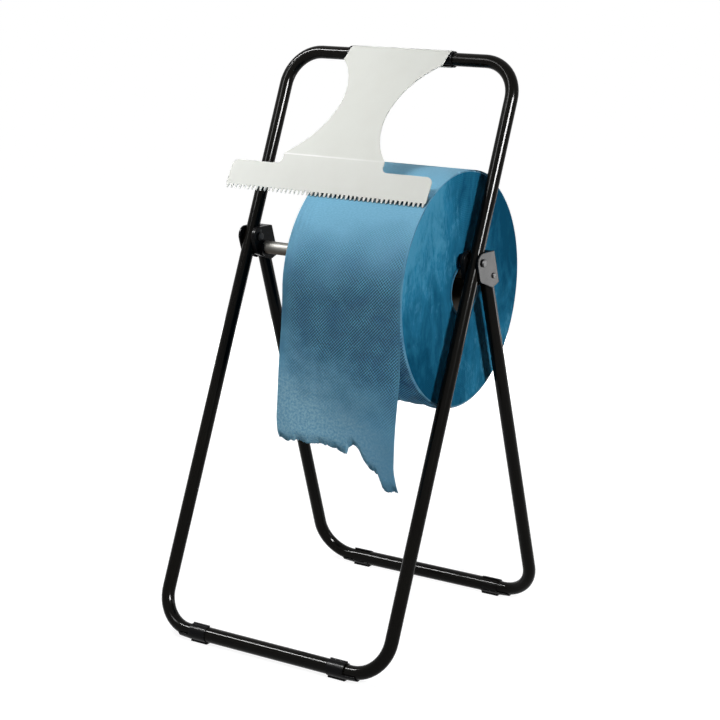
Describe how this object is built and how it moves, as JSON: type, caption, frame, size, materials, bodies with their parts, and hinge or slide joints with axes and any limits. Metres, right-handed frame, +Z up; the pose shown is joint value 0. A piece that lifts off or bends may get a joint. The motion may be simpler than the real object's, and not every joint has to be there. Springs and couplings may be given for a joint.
{
  "type": "paper roll floor stand",
  "caption": "Folding floor stand of bent black tube that carries a wide roll of blue wiping paper on a steel spindle, with a toothed off-white tear plate hooked over its top bar.",
  "frame": {"origin": "on the floor, midway between the front and the rear base bar and midway between the legs", "axes": "+Z up, -Y to the front where the paper hangs, +X to the right as seen from the front"},
  "size_m": [0.4762, 0.5154, 0.9585],
  "materials": {
    "frame_black": "gloss black powder coat on steel tube",
    "foot_black": "satin black moulded plastic",
    "bracket_black": "satin black moulded plastic",
    "bush_black": "satin black moulded plastic",
    "plug_black": "satin black moulded plastic",
    "fastener_steel": "dark zinc plated steel",
    "spindle_steel": "bright plated steel tube",
    "plate_white": "off-white powder coat on sheet steel",
    "core_card": "plain wound card",
    "roll_blue": "soft creped blue paper, wound",
    "sheet_blue": "soft creped blue paper, embossed"
  },
  "bodies": {
    "front_frame": {"front_frame_tube": "frame_black", "front_base_bar": "frame_black", "front_left_foot": "foot_black", "front_right_foot": "foot_black", "left_spindle_holder": "bracket_black", "right_spindle_holder": "bracket_black", "left_pivot_bolt": "fastener_steel", "right_pivot_bolt": "fastener_steel", "left_pivot_nut": "fastener_steel", "right_pivot_nut": "fastener_steel", "left_stop_stud": "fastener_steel", "right_stop_stud": "fastener_steel"},
    "rear_legs": {"rear_left_leg_tube": "frame_black", "rear_right_leg_tube": "frame_black", "rear_base_bar": "frame_black", "rear_left_foot": "foot_black", "rear_right_foot": "foot_black", "left_hinge_fork": "bracket_black", "right_hinge_fork": "bracket_black", "left_fork_rivet": "fastener_steel", "right_fork_rivet": "fastener_steel"},
    "plate": {"tear_plate": "plate_white", "left_plate_bush": "bush_black", "right_plate_bush": "bush_black"},
    "spindle": {"spindle_tube": "spindle_steel", "left_spindle_plug": "plug_black", "right_spindle_plug": "plug_black"},
    "roll": {"roll_core": "core_card", "paper_roll": "roll_blue"},
    "sheet": {"hanging_sheet": "sheet_blue"}
  },
  "joints": [
    {"name": "rear_fold", "type": "hinge", "parent": "front_frame", "child": "rear_legs", "pos_m": [0, 0.00427, 0.63785], "axis": [-1, 0, 0], "range_deg": [0, 39]},
    {"name": "plate_tilt", "type": "hinge", "parent": "front_frame", "child": "plate", "pos_m": [0, 0.12656, 0.94436], "axis": [-1, 0, 0], "range_deg": [0, 100]},
    {"name": "spindle_lift", "type": "slide", "parent": "front_frame", "child": "spindle", "axis": [0, 0.8387, 0.5446], "range_m": [0, 0.06]},
    {"name": "roll_spin", "type": "hinge", "parent": "spindle", "child": "roll", "pos_m": [0, 0.01947, 0.58915], "axis": [1, 0, 0], "range_deg": [0, 71.5]},
    {"name": "sheet_pull", "type": "slide", "parent": "spindle", "child": "sheet", "axis": [0, 0, -1], "range_m": [0, 0.24]}
  ],
  "couplings": [
    {"joint": "sheet_pull", "follows": "roll_spin", "m_per_rad": 0.1912}
  ]
}
